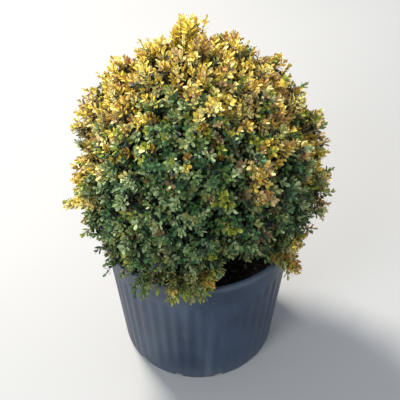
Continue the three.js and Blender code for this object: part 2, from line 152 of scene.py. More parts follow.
# Crown outline: a ball with soft lumps, by height, then waves along each axis and start in radians,
# a skirt over the rim, and a few spots of its own, by azimuth, elevation, width and rise
BALL_RADIUS = 0.217
LUMPS = (
    (0.0040, (7.3, 3.1, -2.2), 0.7),
    (0.0032, (-4.2, 11.9, 5.0), 1.9),
    (0.0027, (6.1, -3.3, 13.7), 4.1),
)
SKIRT_RISE = 0.009
SKIRT_FROM = 10.0
SKIRT_TO = 32.0
SPOTS = (
    (22.0, -42.0, 18.0, -0.060),
    (22.0, -18.0, 17.0, -0.046),
    (-130.0, 33.0, 24.0, 0.012),
    (-36.0, 57.0, 6.0, -0.030),
    (-12.0, 58.0, 5.0, -0.022),
    (-28.0, 27.0, 5.0, -0.022),
    (62.0, -24.0, 9.0, -0.018),
    (76.0, 34.0, 13.0, -0.012),
)
UNDER_EDGE = -54.0
MASS_NAMES = ("top", "front", "front_right", "back_right", "back", "back_left", "front_left")
SIDE_ELEVATION = -14.0

# Limbs, branches and shoots of the crown: radii at foot and tip, and how far each strays from
# even spacing as a share of the ball's radius
LIMB_COUNT = 56
LIMB_REACH = 0.62
LIMB_BOW = 0.2
LIMB_RADII = (0.0038, 0.0026)
LIMB_STRAYING = 0.06
BRANCH_BEND = 0.5
BRANCH_LIFT = 0.4
BRANCH_RADII = (0.0024, 0.0015)
TWIG_RADII = (0.0012, 0.0006)
TUFT_COUNT = 620
TUFT_DEPTH = 0.062
TUFT_RELIEF = 0.0095
TUFT_RELIEF_RANGE = (-0.016, 0.012)
TUFT_DOME = 0.023
TUFT_DOME_END = 1.3
TUFT_STRAYING = 0.035
TUFT_MARGIN = 4.0
SHOOT_COUNT = 6700
SHOOT_JITTER = 0.0060
SHOOT_TILT = 0.80
SHOOT_BEND = 0.5
SHOOT_LIFT = 0.50
SHOOT_LIFT_FROM = -45.0
SHOOT_LIFT_TO = -10.0
SHOOT_STRAYING = 0.012

# How far each shoot keeps off the pot, and the shares of its length where that is looked at
SHOOT_CLEARANCE = 0.002
SHOOT_SAMPLES = np.linspace(0.3, 1, 6)[None, :, None]

# Leaves: opposite pairs, each square to the last, listed from the shoot's tip inwards, up to the
# share of its length from which it is bare
LEAF_LENGTH = 0.0118
LEAF_WIDTH = 0.0056
PAIRS = 7
PAIR_STEP = 0.0040
PAIR_SIZES = (0.55, 0.78, 0.94, 1.0, 1.0, 0.98, 0.94)
PAIR_SPREADS = (16.0, 29.0, 40.0, 47.0, 53.0, 58.0, 62.0)
FIRST_PAIR = 0.0015
BARE_FROM = 0.93
LEAF_CLEARANCE = 0.0015

# How leaves vary, as standard deviations and ranges: turns in radians, spreads in degrees, the
# rest as shares; young leaves are the first pairs, which cup, and older ones arch
STEP_RANGE = (0.85, 1.15)
TURN_VARIES = 0.12
SIDE_VARIES = 0.10
SPREAD_VARIES = 8.0
FACE_VARIES = 0.34
LENGTH_VARIES = 0.10
LENGTH_RANGE = (0.75, 1.25)
WIDTH_VARIES = 0.08
WIDTH_RANGE = (0.8, 1.2)
YOUNG_PAIRS = 2
YOUNG_CUP = 0.34
OLD_CUP = -0.10
CUP_VARIES = 0.16
YOUNG_ARCH = 0.02
OLD_ARCH = 0.13
ARCH_VARIES = 0.07

# Clumps of shoots that the shears missed, and a few rosettes of their own colour: azimuth,
# elevation, reach past the ball, shift of the tips, count of shoots, how wide they stand apart,
# and the colours that their sprays are dealt; all but the first reach only a share as far
# In these colour lists, sage is a painted sheen of the sky.
SUNNY = ("cream", "gold", "gold", "ochre")
MIXED = ("cream", "gold", "tan", "lime", "olive")
DRAPED = ("lime", "lime", "olive", "olive", "moss", "ochre", "lime", "sage_sheen")
HANGING = ("tan", "ochre", "olive", "lime", "bronze", "olive", "gold")
STRAYS = (
    (202, 68, 0.041, (0.009, 0, 0.008), 36, 0.050, ("cream", "gold", "gold")),
    (182, 76, 0.018, (0.009, 0, 0.007), 12, 0.055, ("gold", "bronze", "tan", "ochre")),
    (226, 66, 0.010, (-0.007, 0, 0.007), 16, 0.060, ("cream", "gold", "gold")),
    (160, 47, 0.012, (0.004, 0, 0.007), 10, 0.055, SUNNY),
    (132, 38, 0.012, (0.005, 0, 0.005), 10, 0.055, ("gold", "ochre", "tan", "lime")),
    (-72, -6, 0.024, (-0.005, -0.004, -0.004), 6, 0.040, MIXED),
    (-58, 3, 0.016, (-0.005, 0, 0.005), 6, 0.045, SUNNY),
    (82, -22, 0.016, (0.005, 0, 0.007), 6, 0.045, MIXED),
    (52, -26, 0.030, (0.004, -0.005, -0.026), 24, 0.045, HANGING),
    (50, -10, 0.012, (0.004, -0.004, -0.010), 16, 0.050, HANGING),
    (30, 31, 0.010, (0, -0.004, 0.012), 12, 0.038, ("ochre", "tan", "bronze", "ochre", "cream")),
    (28, 23, 0.008, (0, -0.004, 0.012), 13, 0.042, ("tan", "bronze", "ochre", "gold", "brown")),
    (5, -22, 0.016, (0, -0.006, -0.010), 5, 0.040, ("ochre", "lime", "olive")),
    (2, -27, 0.022, (0, -0.009, -0.014), 24, 0.080, DRAPED),
    (-12, -28, 0.018, (-0.002, -0.008, -0.012), 14, 0.070, DRAPED),
    (-26, -28, 0.020, (-0.004, -0.007, -0.012), 10, 0.055, ("moss", "sage_sheen", "olive", "green")),
    (10, 24, 0.002, (0, 0, 0.004), 7, 0.035, ("lime",)),
    (13, 11, 0.002, (0, 0, 0.004), 7, 0.035, ("lime", "lime", "olive")),
    (4, -6, 0.002, (0, 0, 0.004), 7, 0.035, ("lime",)),
)
STRAY_SHARES = (0.4, 0.97)

# Sun side of the crown, where the leaves have turned gold: the way to the sun, places with more
# or less gold, as azimuth, elevation, width and change, and how much tufts and shoots differ
SUN = np.array((0.0, 0.86, 0.51))
FLANK_GOLD = 0.26
GOLD_PLACES = (
    (-27.0, 42.0, 14.0, -0.15),
    (-7.0, 45.0, 12.0, -0.16),
    (-24.0, 58.0, 12.0, -0.15),
    (-62.0, 46.0, 16.0, 0.12),
    (20.0, 60.0, 14.0, 0.20),
    (56.0, 50.0, 16.0, 0.20),
    (62.0, 34.0, 20.0, 0.14),
    (70.0, 18.0, 12.0, 0.16),
    (20.0, 36.0, 10.0, 0.10),
)
TUFT_GLOW_VARIES = 0.21
SHOOT_GLOW_VARIES = 0.13

# Which of its place's colours a shoot takes: a share of the shoots follow their tuft and the rest
# are free, and towards the right all take colours from a little further down the list
TUFT_MOOD_SHARE = 0.34
SIDE_MOOD = 0.16
SIDE_MOOD_WIDTH = 0.6

# How colours change inwards: pale tips, partly painted highlights, then dim leaves, as a share of each
# pair, partly the colour of inner leaves that did not turn and partly painted shade between the sprays,
# of which most of the deepest are nearly black, painted shade; sprigs that stand out stay light all
# along
PALE_TIP_SHARE = 0.22
DIM_SHARES = (0, 0, 0, 0.35, 0.7, 1, 1)
DIM_OLIVE_SHARE = 0.50
DIM_BROWN_SHARE = 0.22
DIM_GOLD_FROM = 0.30
DEEPEST_PAIR = 5
DEEPEST_SHARE = 0.85
LIGHT_SPRIG_REACH = 0.012

UP = np.array((0.0, 0.0, 1.0))
NEARLY_UP = UP + 0.001
CENTRE = np.array(BALL_CENTRE)
SEED = 20
random = np.random.default_rng(SEED)


# Camera, floor and light

def make_camera():
    elevation = math.radians(VIEW_ELEVATION)
    back = Vector((0, -math.cos(elevation), math.sin(elevation)))
    down = math.radians(AIM_DOWN)
    look = Vector((0, math.cos(down), -math.sin(down)))
    camera = bpy.data.objects.new("camera", bpy.data.cameras.new("camera"))
    camera.data.lens = LENS
    camera.data.sensor_width = SENSOR_WIDTH
    camera.location = BALL_CENTRE + VIEW_DISTANCE * back
    camera.rotation_euler = look.to_track_quat("-Z", "Y").to_euler()
    bpy.context.scene.collection.objects.link(camera)
    bpy.context.scene.camera = camera


def make_lamp(name, place, width, watts, colour):
    lamp = bpy.data.objects.new(name, bpy.data.lights.new(name, "AREA"))
    lamp.data.shape = "DISK"
    lamp.data.size = width
    lamp.data.energy = watts
    lamp.data.color = colour
    lamp.location = place
    lamp.rotation_euler = (BALL_CENTRE - Vector(place)).to_track_quat("-Z", "Y").to_euler()
    bpy.context.scene.collection.objects.link(lamp)


def make_light():
    world = bpy.data.worlds.new("studio")
    world.use_nodes = True
    background = world.node_tree.nodes["Background"]
    background.inputs["Color"].default_value = SKY_COLOUR
    background.inputs["Strength"].default_value = SKY_STRENGTH
    bpy.context.scene.world = world
    bpy.context.scene.view_settings.view_transform = "Standard"
    for lamp in LAMPS:
        make_lamp(*lamp)


def make_floor():
    piece = add("floor", bpy.ops.mesh.primitive_plane_add, size=FLOOR_SIZE, location=(0, 0, 0))
    close(piece)
    piece.data.materials.append(pale_floor())


# Materials

class Value:
    """A number on a shader's wire, for use in Python expressions."""

    def __init__(self, shader, socket):
        self.shader = shader
        self.socket = socket

    def maths(self, operation, *values):
        inputs = {i: value for i, value in enumerate(values)}
        return self.shader.node("ShaderNodeMath", {"operation": operation}, inputs)

    def __add__(self, other):
        return self.maths("ADD", self, other)

    def __sub__(self, other):
        return self.maths("SUBTRACT", self, other)

    def __rsub__(self, other):
        return self.maths("SUBTRACT", other, self)

    def __mul__(self, other):
        return self.maths("MULTIPLY", self, other)

    def __abs__(self):
        return self.maths("ABSOLUTE", self)

    def sine(self):
        return self.maths("SINE", self)

    def above(self, low, high):
        """0 below low and 1 above high, with a smooth step between."""
        settings = {"interpolation_type": "SMOOTHSTEP"}
        inputs = {"Value": self, "From Min": low, "From Max": high}
        return self.shader.node("ShaderNodeMapRange", settings, inputs)

    __radd__ = __add__
    __rmul__ = __mul__


class Shader:
    """The nodes of one material."""

    def __init__(self, name, **constants):
        self.material = bpy.data.materials.new(name)
        self.material.use_nodes = True
        self.tree = self.material.node_tree
        self.surface = self.tree.nodes["Principled BSDF"]
        for socket, value in constants.items():
            self.set(socket.replace("_", " "), value)

    def feed(self, socket, value):
        if isinstance(value, Value):
            self.tree.links.new(value.socket, socket)
        else:
            socket.default_value = value

    def node(self, kind, settings=None, inputs=None, output=0):
        made = self.tree.nodes.new(kind)
        for name, value in (settings or {}).items():
            setattr(made, name, value)
        for name, value in (inputs or {}).items():
            self.feed(made.inputs[name], value)
        return Value(self, made.outputs[output])

    def set(self, socket, value):
        self.feed(self.surface.inputs[socket], value)

    def axis(self, vector, name):
        """One axis of a vector: X, Y or Z."""
        return self.node("ShaderNodeSeparateXYZ", None, {"Vector": vector}, output=name)

    def place(self, scale=(1, 1, 1)):
        """The point on the piece, stretched."""
        point = self.node("ShaderNodeTexCoord", output="Object")
        return self.node("ShaderNodeMapping", None, {"Vector": point, "Scale": scale})

    def noise(self, scale, detail=3.0, rough=0.55, stretch=(1, 1, 1)):
        inputs = {"Vector": self.place(stretch), "Scale": scale, "Detail": detail, "Roughness": rough}
        return self.node("ShaderNodeTexNoise", None, inputs)

    def mix(self, share, first, second):
        """A colour between two colours."""
        settings = {"data_type": "RGBA"}
        inputs = {0: share, 6: first, 7: second}
        return self.node("ShaderNodeMix", settings, inputs, output=2)

    def bump(self, height, strength, distance):
        inputs = {"Height": height, "Strength": strength, "Distance": distance}
        self.set("Normal", self.node("ShaderNodeBump", None, inputs))


def pot_plastic():
    """Slate blue moulded plastic: faded black, its blue partly a painted reflection of the sky; dusty
    in streaks and at the foot, with pale scuffs, water marks and a painted highlight round the rim.
    """
    shader = Shader("pot_plastic", IOR=1.49)
    # Both blues are partly a painted reflection of the sky on faded black plastic.
    deep = (0.015, 0.031, 0.064, 1)
    worn = (0.034, 0.062, 0.110, 1)
    # This pale colour is dust, and round the rim a painted highlight.
    dust_and_highlight = (0.135, 0.165, 0.200, 1)
    patches = shader.noise(9.0, 5.0).above(0.35, 0.68)
    streaks = shader.noise(26.0, 5.0, 0.6, (1, 1, 0.09)).above(0.50, 0.72)
    marks = shader.noise(70.0, 3.0, 0.5, (1, 1, 0.35)).above(0.62, 0.74)
    height = shader.axis(shader.place(), "Z")
    foot = 1 - height.above(0.0, DUSTY_FOOT)
    # A pale band round the top of the rim: painted highlight.
    rim = height.above(POT_HEIGHT - RIM_DEPTH * 1.2, POT_HEIGHT - RIM_DEPTH * 0.9)
    dust_and_rim_highlight = (streaks * 0.38 + marks * 0.22 + foot * 0.45 + rim * 0.40) * 0.9
    shader.set("Base Color", shader.mix(dust_and_rim_highlight, shader.mix(patches, deep, worn), dust_and_highlight))
    shader.set("Roughness", 0.40 + dust_and_rim_highlight * 0.3 + patches * 0.08)
    grain = shader.noise(900.0, 2.0) * 0.35 + shader.noise(60.0, 4.0) * 0.65
    shader.bump(grain, 0.22, 0.0012)
    return shader.material


def damp_mix():
    """Dark composted bark and peat between the chips."""
    shader = Shader("damp_mix", IOR=1.4)
    peat = (0.008, 0.006, 0.005, 1)
    rotted_bark = (0.040, 0.026, 0.017, 1)
    crumbs = shader.noise(260.0, 4.0).above(0.35, 0.7)
    shader.set("Base Color", shader.mix(crumbs, peat, rotted_bark))
    shader.set("Roughness", 0.95 - crumbs * 0.15)
    shader.bump(shader.noise(420.0, 5.0), 0.8, 0.004)
    return shader.material


def chip_bark(name, dark, pale):
    """Weathered bark chips with a fibrous grain."""
    shader = Shader(name, IOR=1.4)
    grain = shader.noise(240.0, 4.0, 0.6, (1, 0.35, 1)).above(0.3, 0.7)
    shader.set("Base Color", shader.mix(grain, dark, pale))
    shader.set("Roughness", 0.9 - grain * 0.15)
    shader.bump(grain, 0.6, 0.0015)
    return shader.material


def bark():
    """Grey-brown, finely fissured bark, with a little green film."""
    shader = Shader("bark", IOR=1.45)
    fissure = (0.060, 0.044, 0.031, 1)
    ridge = (0.245, 0.205, 0.150, 1)
    green_film = (0.115, 0.130, 0.062, 1)
    ridges = shader.noise(230.0, 5.0, 0.6, (1, 1, 0.28)).above(0.34, 0.66)
    blotches = shader.noise(38.0, 3.0).above(0.45, 0.7)
    plain = shader.mix(ridges, fissure, ridge)
    shader.set("Base Color", shader.mix(blotches * 0.35, plain, green_film))
    shader.set("Roughness", 0.92 - ridges * 0.12)
    shader.bump(ridges, 0.7, 0.0014)
    return shader.material


def twig_bark():
    """Young twigs, tan with green patches."""
    shader = Shader("twig_bark", IOR=1.45)
    tan = (0.125, 0.092, 0.050, 1)
    green = (0.150, 0.160, 0.058, 1)
    patches = shader.noise(130.0, 3.0).above(0.4, 0.65)
    shader.set("Base Color", shader.mix(patches, tan, green))
    shader.set("Roughness", 0.75 - patches * 0.15)
    return shader.material


def leaf_skin(name, colour, roughness):
    """A waxy leaf of one plain colour, with a raised midrib and side veins."""
    shader = Shader(name, Base_Color=(*colour, 1), Specular_IOR_Level=0.5, IOR=1.45)
    uv = shader.node("ShaderNodeUVMap", {"uv_map": "UVMap"})
    across = abs(shader.axis(uv, "X") - 0.5)
    along = shader.axis(uv, "Y")
    midrib = 1 - across.above(0.02, 0.09)
    veins = (along * 44 - across * 30).sine()
    patches = shader.noise(55.0, 2.0).above(0.3, 0.7)
    shader.set("Roughness", roughness + patches * 0.12)
    shader.bump(midrib * 0.7 + veins * 0.12, 0.35, 0.0006)
    return shader.material


def pale_floor():
    """A plain pale floor with faint clouds."""
    shader = Shader("pale_floor", Roughness=0.9)
    cooler = (0.40, 0.405, 0.41, 1)
    paler = (0.44, 0.44, 0.44, 1)
    shader.set("Base Color", shader.mix(shader.noise(2.0, 2.0), cooler, paler))
    return shader.material


# Mesh tools

def add(name, primitive, **sizes):
    """Adds a primitive at its size and place, the only thing selected, and opens it for editing."""
    bpy.ops.object.select_all(action="DESELECT")
    primitive(**sizes)
    piece = bpy.context.object
    piece.name = piece.data.name = name
    bpy.ops.object.mode_set(mode="EDIT")
    return piece


def close(piece, smooth=None):
    """Leaves edit mode, with faces outwards, and puts the piece's place in its mesh."""
    bpy.ops.mesh.select_all(action="SELECT")
    bpy.ops.mesh.remove_doubles(threshold=1e-6)
    bpy.ops.mesh.normals_make_consistent(inside=False)
    bpy.ops.object.mode_set(mode="OBJECT")
    bpy.ops.object.transform_apply(location=True, rotation=True, scale=True)
    if smooth:
        bpy.ops.object.shade_smooth_by_angle(angle=math.radians(smooth))
    return piece


def finish(piece, material, slot, *nodes):
    """Gives a piece its material, hangs it on the root, and hides the imported parts that it stands
    for.
    """
    piece.data.materials.clear()
    piece.data.materials.append(material)
    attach(piece, "root")
    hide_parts(*nodes)


def select_where(piece, test):
    """In edit mode, selects the corners whose place passes the test, and nothing else."""
    bpy.ops.mesh.select_all(action="DESELECT")
    bpy.ops.mesh.select_mode(type="VERT")
    mesh = bmesh.from_edit_mesh(piece.data)
    for corner in mesh.verts:
        corner.select = bool(test(piece.matrix_world @ corner.co))
    mesh.select_flush(True)
    bmesh.update_edit_mesh(piece.data)


def grow(step, scale, centre):
    """Extrudes what is selected by a step, and scales its new end about a centre."""
    bpy.ops.mesh.extrude_region_move(TRANSFORM_OT_translate={"value": tuple(step)})
    bpy.ops.transform.resize(value=(scale, scale, 1), center_override=tuple(centre))


def turned(name, profile, sides):
    """A round piece whose skin follows a profile of radii and heights, from a disc to a disc."""
    (radius, height), *rest = profile
    piece = add(name, bpy.ops.mesh.primitive_circle_add, vertices=sides, radius=radius,
                fill_type="NGON", location=(0, 0, height))
    bpy.ops.mesh.select_all(action="SELECT")
    for next_radius, next_height in rest:
        grow((0, 0, next_height - height), next_radius / radius, (0, 0, next_height))
        radius, height = next_radius, next_height
    return piece


def apply_modifier(piece, kind, **settings):
    modifier = piece.modifiers.new(kind.lower(), kind)
    for name, value in settings.items():
        setattr(modifier, name, value)
    bpy.context.view_layer.objects.active = piece
    bpy.ops.object.modifier_apply(modifier=modifier.name)


def joined(name, faces, points, uv=None):
    """One mesh of many copies of a small shape: faces by corner, and points as (copies, corners, 3)."""
    copies, corners, _ = points.shape
    loops = np.concatenate([np.array(face) for face in faces])
    sizes = np.array([len(face) for face in faces])
    starts = np.concatenate(([0], np.cumsum(sizes)[:-1]))
    copy = np.arange(copies)[:, None]
    mesh = bpy.data.meshes.new(name)
    mesh.vertices.add(copies * corners)
    mesh.vertices.foreach_set("co", points.astype(np.float32).ravel())
    mesh.loops.add(copies * len(loops))
    mesh.loops.foreach_set("vertex_index", (loops + copy * corners).astype(np.int32).ravel())
    mesh.polygons.add(copies * len(faces))
    mesh.polygons.foreach_set("loop_start", (starts + copy * len(loops)).astype(np.int32).ravel())
    mesh.polygons.foreach_set("use_smooth", np.ones(copies * len(faces), bool))
    if uv is not None:
        layer = mesh.uv_layers.new(name="UVMap")
        layer.data.foreach_set("uv", np.tile(uv[loops], (copies, 1)).astype(np.float32).ravel())
    mesh.update(calc_edges=True)
    piece = bpy.data.objects.new(name, mesh)
    bpy.context.scene.collection.objects.link(piece)
    return piece


# Vectors, as arrays of rows

def unit(rows):
    return rows / np.linalg.norm(rows, axis=-1, keepdims=True)


def ways(azimuths, elevations):
    """Unit vectors for azimuths and elevations in degrees."""
    turn = np.radians(azimuths)
    rise = np.radians(elevations)
    level = np.cos(rise)
    return np.stack([level * np.sin(turn), -level * np.cos(turn), np.sin(rise)], -1)


def elevations_of(way):
    return np.degrees(np.arcsin(np.clip(way[..., 2], -1, 1)))


def smooth_step(value, low, high):
    share = np.clip((value - low) / (high - low), 0, 1)
    return share * share * (3 - 2 * share)


def even_ways(count):
    """Evenly spread ways on a ball, as on a sunflower head."""
    order = np.arange(count)
    height = 1 - (2 * order + 1) / count
    turn = order * math.pi * (3 - math.sqrt(5))
    level = np.sqrt(1 - height * height)
    return np.stack([level * np.cos(turn), level * np.sin(turn), height], -1)


def jittered(way, amount):
    return unit(way + random.normal(0, amount, way.shape))


def curve_points(first, middle, last, share):
    """Points of a quadratic curve; share is a number or ends in a column."""
    rest = 1 - share
    return rest * rest * first + 2 * rest * share * middle + share * share * last


def way_along(first, middle, last, share):
    return unit((1 - share) * (middle - first) + share * (last - middle))


# Pot

def wall_radius(height):
    share = height / (POT_HEIGHT - RIM_DEPTH)
    return BASE_RADIUS + share * (RIM_RADIUS - RIM_OVERHANG - BASE_RADIUS)


def pot_profile():
    """Radii and heights of the pot's skin, up its outside and down its inside."""
    collar_foot = POT_HEIGHT - COLLAR_DEPTH
    rim_foot = POT_HEIGHT - RIM_DEPTH
    wall_top = wall_radius(rim_foot)
    inside = wall_top - WALL
    step = COLLAR_STEP
    rows = [FLUTE_FOOT - FLUTE_RUNOUT, FLUTE_FOOT, FLUTE_FOOT + FLUTE_RUNOUT, *WALL_ROWS]
    rows += [collar_foot - below for below in ROWS_UNDER_COLLAR]
    return [
        (BASE_RADIUS - EDGE, 0),
        (BASE_RADIUS - EDGE * 0.3, EDGE * 0.3),
        (wall_radius(EDGE) - step * 0.1, EDGE),
        *[(wall_radius(height) - step * height / collar_foot, height) for height in rows],
        (wall_radius(collar_foot) - step, collar_foot - step),
        (wall_radius(collar_foot) - step * 0.25, collar_foot - step * 0.6),
        (wall_radius(collar_foot), collar_foot + step * 0.4),
        (wall_radius(COLLAR_ROW), COLLAR_ROW),
        (wall_top - EDGE * 0.3, rim_foot - EDGE),
        (wall_top, rim_foot - EDGE * 0.1),
        (RIM_RADIUS - EDGE * 0.6, rim_foot),
        (RIM_RADIUS - EDGE * 0.1, rim_foot + EDGE * 0.4),
        (RIM_RADIUS, rim_foot + EDGE * 1.2),
        (RIM_RADIUS, POT_HEIGHT - EDGE * 1.3),
        (RIM_RADIUS - EDGE * 0.3, POT_HEIGHT - EDGE * 0.4),
        (RIM_RADIUS - EDGE * 1.1, POT_HEIGHT),
        (inside + EDGE, POT_HEIGHT),
        (inside + EDGE * 0.3, POT_HEIGHT - EDGE * 0.3),
        (inside, POT_HEIGHT - EDGE),
        (wall_radius(collar_foot) - step - WALL, collar_foot),
        (wall_radius(FLOOR) - step - WALL, FLOOR),
    ]


def flute_column(point):
    """The column across its flute that a point is in, or None off the fluted outside."""
    column = round(math.atan2(point.y, point.x) / (2 * math.pi) * POT_SIDES) % COLUMNS_PER_FLUTE
    outside = point.xy.length > wall_radius(point.z) - COLLAR_STEP * 1.2
    fluted = FLUTE_FOOT - EDGE / 4 < point.z < FLUTE_HEAD
    return column if outside and fluted else None


def press_flutes(piece):
    """Presses the flutes in, column by column, deepest in the middle of each."""
    for phase in range(1, COLUMNS_PER_FLUTE // 2 + 1):
        columns = (phase, COLUMNS_PER_FLUTE - phase)
        select_where(piece, lambda point: flute_column(point) in columns)
        depth = FLUTE_DEPTH * (1 - math.cos(2 * math.pi * phase / COLUMNS_PER_FLUTE)) / 2
        scale = 1 - depth / wall_radius((FLUTE_FOOT + FLUTE_HEAD) / 2)
        bpy.ops.transform.resize(value=(scale, scale, 1), center_override=(0, 0, 0))


def cut_notches(piece):
    """Cuts the drain notches through the foot of the wall."""
    cutter = add("notch_cutter", bpy.ops.mesh.primitive_cylinder_add, vertices=NOTCH_SIDES,
                 radius=NOTCH_RADIUS, depth=NOTCH_REACH, location=(0, -BASE_RADIUS, 0),
                 rotation=(math.pi / 2, 0, 0))
    close(cutter)
    for i in range(NOTCHES):
        copy = cutter.copy()
        copy.data = cutter.data.copy()
        copy.data.transform(Matrix.Rotation((i + 0.5) * 2 * math.pi / NOTCHES, 4, "Z"))
        bpy.context.scene.collection.objects.link(copy)
        apply_modifier(piece, "BOOLEAN", object=copy, operation="DIFFERENCE", solver="EXACT")
        bpy.data.objects.remove(copy)
    bpy.data.objects.remove(cutter)


def make_pot():
    piece = turned("nursery_pot", pot_profile(), POT_SIDES)
    press_flutes(piece)
    close(piece)
    cut_notches(piece)
    bpy.ops.object.select_all(action="DESELECT")
    piece.select_set(True)
    bpy.context.view_layer.objects.active = piece
    bpy.ops.object.shade_smooth_by_angle(angle=math.radians(POT_SMOOTH_ANGLE))
    finish(piece, pot_plastic(), "pot_plastic", "pot")


# Potting mix and its bark chips

def mix_edge():
    """Distance from the pot's axis to the edge of the mix."""
    return wall_radius(MIX_HEIGHT - MIX_EDGE_DROP) - WALL - COLLAR_STEP - GAP


def mix_surface(out):
    """Height of the mix at a distance from the pot's axis."""
    share = (out - MIX_FLAT_RADIUS) / (mix_edge() - MIX_FLAT_RADIUS)
    return MIX_HEIGHT - MIX_EDGE_DROP * np.clip(share, 0, 1)


def make_mix():
    gap = WALL + COLLAR_STEP + GAP
    collar_foot = POT_HEIGHT - COLLAR_DEPTH
    edge = mix_edge()
    profile = [
        (wall_radius(FLOOR) - gap, FLOOR + GAP),
        (wall_radius(collar_foot) - gap, collar_foot),
        (edge, MIX_HEIGHT - MIX_EDGE_DROP),
    ]
    for i in range(1, MIX_RINGS):
        radius = edge * (1 - i / MIX_RINGS)
        profile.append((radius, float(mix_surface(radius))))
    piece = close(turned("mix_surface", profile, MIX_SIDES), smooth=180)
    top = piece.vertex_groups.new(name="top")
    for corner in piece.data.vertices:
        if corner.co.z > MIX_HEIGHT - MIX_LUMP_BAND and corner.co.xy.length < edge * MIX_LUMP_WIDTH:
            top.add([corner.index], 1.0, "REPLACE")
    apply_modifier(piece, "SUBSURF", subdivision_type="SIMPLE", levels=1, render_levels=1)
    for size, height in MIX_LUMPS:
        clouds = bpy.data.textures.new("lumps", "CLOUDS")
        clouds.noise_scale = size
        apply_modifier(piece, "DISPLACE", texture=clouds, strength=height, mid_level=0.8,
                       direction="Z", vertex_group="top", texture_coords="LOCAL")
    finish(piece, damp_mix(), "potting_mix", "potting_mix")


CHIP_FACES = [(0, 3, 2, 1), (4, 5, 6, 7), (0, 1, 5, 4), (1, 2, 6, 5), (2, 3, 7, 6), (3, 0, 4, 7)]


def make_chips():
    """Blocks with uneven corners, strewn over the mix and lying nearly flat."""
    ring = ((-1, -1), (1, -1), (1, 1), (-1, 1))
    corners = np.array([(x, y, z) for z in (-1, 1) for x, y in ring], float)
    for name, share, dark, pale in CHIP_KINDS:
        count = int(CHIP_COUNT * share)
        out = np.sqrt(random.uniform(CHIP_FREE_MIDDLE, 1, count)) * (mix_edge() - CHIP_EDGE_GAP)
        turn = random.uniform(0, 2 * math.pi, count)
        length = random.uniform(*CHIP_LENGTHS, count) * random.uniform(*CHIP_LENGTH_SHARES, count)
        width = length * random.uniform(*CHIP_WIDTH_SHARES, count)
        size = np.stack([length, width, random.uniform(*CHIP_THICKNESSES, count)], -1)
        shape = corners * random.uniform(*CHIP_CORNER_SHARES, (count, 8, 3)) * size[:, None]
        along = unit(random.normal(0, 1, (count, 3)) * (1, 1, CHIP_STEEPNESS))
        tilted = UP + random.normal(0, CHIP_TILT, (count, 3))
        over = unit(np.cross(along, np.cross(tilted, along)))
        across = np.cross(over, along)
        points = (shape[..., :1] * along[:, None] + shape[..., 1:2] * across[:, None]
                  + shape[..., 2:] * over[:, None])
        height = mix_surface(out) + random.uniform(*CHIP_RISES, count)
        place = np.stack([out * np.cos(turn), out * np.sin(turn), height], -1)
        piece = joined(name, CHIP_FACES, points + place[:, None])
        piece.data.polygons.foreach_set("use_smooth", np.zeros(count * len(CHIP_FACES), bool))
        finish(piece, chip_bark(name, dark, pale), "potting_mix", "potting_mix")


# Trunk and boughs

def smooth_path(points, count):
    """Points along a smooth curve through a few points, even where they lie close together."""
    points = np.array(points, float)
    ends = np.vstack([2 * points[0] - points[1], points, 2 * points[-1] - points[-2]])
    gaps = np.sqrt(np.linalg.norm(np.diff(ends, axis=0), axis=1))
    made = []
    for place in np.linspace(0, len(points) - 1, count):
        i = min(int(place), len(points) - 2)
        t = place - i
        a, b, c, d = ends[i:i + 4]
        before, own, after = gaps[i:i + 3]
        first = own * ((b - a) / before - (c - a) / (before + own) + (c - b) / own)
        second = own * ((c - b) / own - (d - b) / (own + after) + (d - c) / after)
        made.append(b + first * t + (3 * (c - b) - 2 * first - second) * t * t
                    + (2 * (b - c) + first + second) * t ** 3)
    return np.array(made)


def mass_way(mass):
    """The way from the ball's centre to the middle of a mass."""
    if mass == "top":
        return ways(0, 90)
    return ways(60 * (MASS_NAMES.index(mass) - 1), SIDE_ELEVATION)


def bough_points(mass):
    """The same route as the solid bough's."""
    lean = np.array((*TRUNK_LEAN, 0))
    if mass == "top":
        foot = lean + (0, 0, TRUNK_TOP)
        middle = (CENTRE[0] + BOUGH_SWAY, -BOUGH_SWAY, (TRUNK_TOP + LEADER_TIP) / 2)
        return [foot, foot + LEADER_RISE * UP, middle, (CENTRE[0], 0, LEADER_TIP)]
    order = MASS_NAMES.index(mass) - 1
    outward, sideways = ways(order * 60, 0), ways(order * 60 + 90, 0)
    sway = BOUGH_SWAY if order % 2 else -BOUGH_SWAY
    foot = BOUGH_FEET[order % 2]
    route = [lean * (foot - MIX_HEIGHT) / (TRUNK_TOP - MIX_HEIGHT) + (0, 0, foot)]
    for i, (out, height) in enumerate(BOUGH_ROUTE):
        bend = sway * math.sin(math.pi * (i + 1) / len(BOUGH_ROUTE))
        route.append(np.array((CENTRE[0], 0, height)) + out * outward + bend * sideways)
    return route


